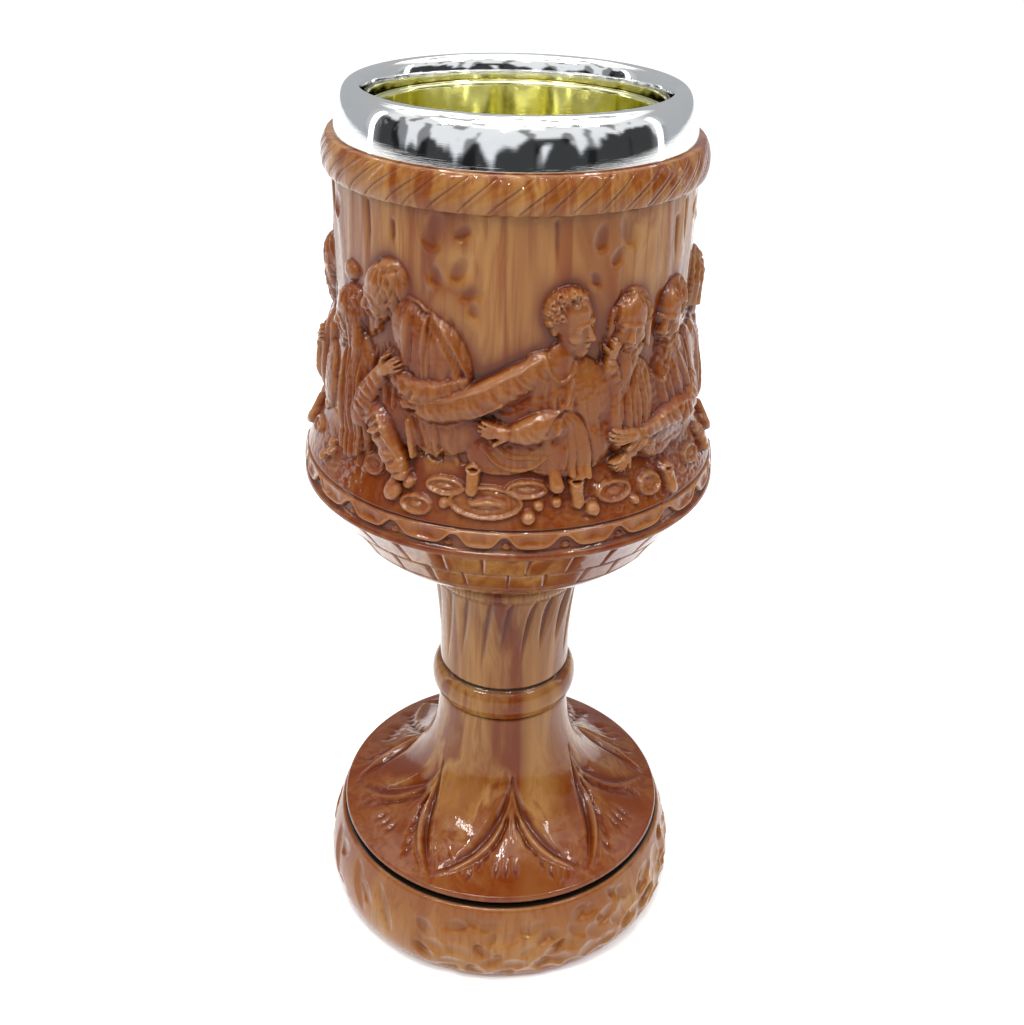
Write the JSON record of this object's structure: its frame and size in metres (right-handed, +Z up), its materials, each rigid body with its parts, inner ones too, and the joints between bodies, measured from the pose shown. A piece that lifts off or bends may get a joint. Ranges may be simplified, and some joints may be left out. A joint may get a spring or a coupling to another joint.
{
  "type": "communion chalice",
  "caption": "Carved olive wood chalice with figures around a table on its bowl, a turned stem and foot, and a lift-out plated metal cup insert.",
  "frame": {"origin": "centre of the underside that rests on the table", "axes": "+Z up along the axis of the cup; -Y faces the viewer of the main carved scene"},
  "size_m": [0.0874, 0.0874, 0.195],
  "materials": {
    "felt": "thin pressed felt, matte",
    "foot_wood": "carved olive wood under thick gloss lacquer",
    "stem_wood": "turned and carved olive wood under thick gloss lacquer",
    "dowel_wood": "plain beech dowel",
    "bowl_wood": "relief-carved olive wood under thick gloss lacquer",
    "ring_wood": "carved olive wood under thick gloss lacquer",
    "gold_plate": "polished gold plate",
    "silver_plate": "polished silver plate"
  },
  "bodies": {
    "chalice": {"felt_pad": "felt", "foot": "foot_wood", "stem": "stem_wood", "foot_dowel": "dowel_wood", "top_dowel": "dowel_wood", "bowl_base": "bowl_wood", "bowl": "bowl_wood", "rim_ring": "ring_wood"},
    "cup_insert": {"cup_liner": "gold_plate", "rim_collar": "silver_plate"}
  },
  "joints": [
    {"name": "insert_lift", "type": "slide", "parent": "chalice", "child": "cup_insert", "axis": [0, 0, 1], "range_m": [0, 0.09]}
  ]
}
